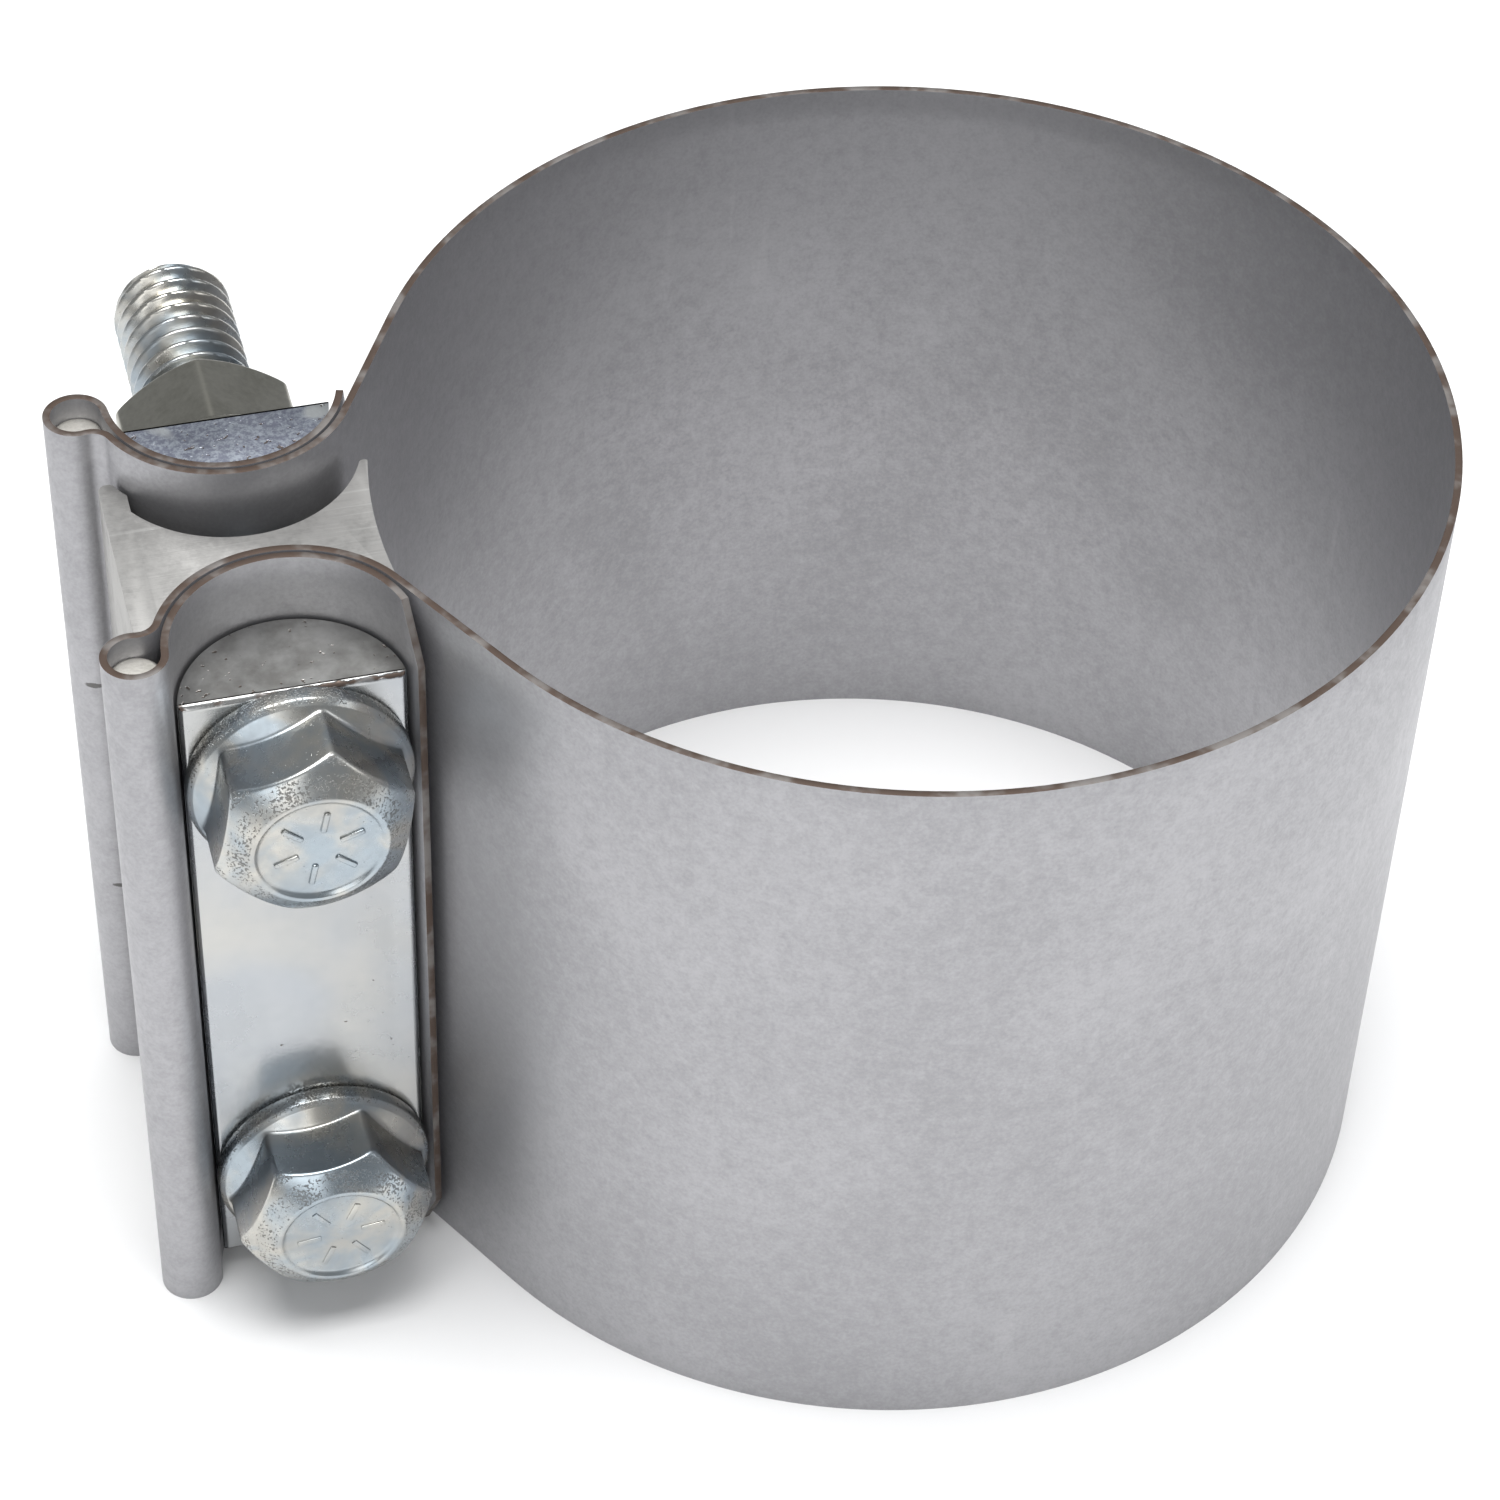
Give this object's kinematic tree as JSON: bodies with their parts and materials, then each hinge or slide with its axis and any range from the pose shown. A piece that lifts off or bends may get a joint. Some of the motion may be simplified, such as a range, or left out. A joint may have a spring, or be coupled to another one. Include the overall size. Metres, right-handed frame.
{
  "type": "pipe repair clamp",
  "caption": "Preformed sheet band clamp for a round pipe, closed by two flange bolts through humped flanges with half-round bars and a spacer.",
  "frame": {"origin": "pipe axis at the middle of the band's width", "axes": "+Z along the pipe; the humped flanges point toward -X; the bolts run along Y with their heads toward -Y"},
  "size_m": [0.1309, 0.1046, 0.086],
  "materials": {
    "band": "satin stainless sheet",
    "rod": "drawn wire, cut ends",
    "zinc": "bright zinc plate",
    "spacer": "brushed",
    "nut": "olive zinc plate"
  },
  "bodies": {
    "front": {"band_front": "band", "rod_front": "rod", "bar_front": "zinc"},
    "rear": {"band_rear": "band", "rod_rear": "rod"},
    "bar_rear": {"bar_rear": "zinc"},
    "spacer": {"spacer": "spacer"},
    "bolt_upper": {"bolt_upper": "zinc"},
    "bolt_lower": {"bolt_lower": "zinc"},
    "nut_upper": {"nut_upper": "nut"},
    "nut_lower": {"nut_lower": "nut"}
  },
  "joints": [
    {"name": "band_open", "type": "hinge", "parent": "front", "child": "rear", "pos_m": [0.0515, 0, 0], "axis": [0, 0, -1], "range_deg": [0, 2.5]},
    {"name": "bar_rear_swivel", "type": "hinge", "parent": "rear", "child": "bar_rear", "pos_m": [-0.0625, 0.0208, 0], "axis": [0, 0, -1], "range_deg": [-2.5, 0]},
    {"name": "spacer_slide", "type": "slide", "parent": "front", "child": "spacer", "axis": [0, 1, 0], "range_m": [0, 0.0025]},
    {"name": "nut_upper_slide", "type": "slide", "parent": "front", "child": "nut_upper", "axis": [0, 1, 0], "range_m": [0, 0.005]},
    {"name": "nut_lower_slide", "type": "slide", "parent": "front", "child": "nut_lower", "axis": [0, 1, 0], "range_m": [0, 0.005]},
    {"name": "bolt_upper_spin", "type": "hinge", "parent": "front", "child": "bolt_upper", "pos_m": [-0.0625, 0, 0.0259], "axis": [0, 1, 0], "continuous": true},
    {"name": "bolt_lower_spin", "type": "hinge", "parent": "front", "child": "bolt_lower", "pos_m": [-0.0625, 0, -0.0281], "axis": [0, 1, 0], "continuous": true}
  ],
  "couplings": [
    {"joint": "bar_rear_swivel", "follows": "band_open", "ratio": -1},
    {"joint": "spacer_slide", "follows": "band_open", "m_per_rad": 0.057},
    {"joint": "nut_upper_slide", "follows": "band_open", "m_per_rad": 0.1138},
    {"joint": "nut_lower_slide", "follows": "band_open", "m_per_rad": 0.1138}
  ]
}
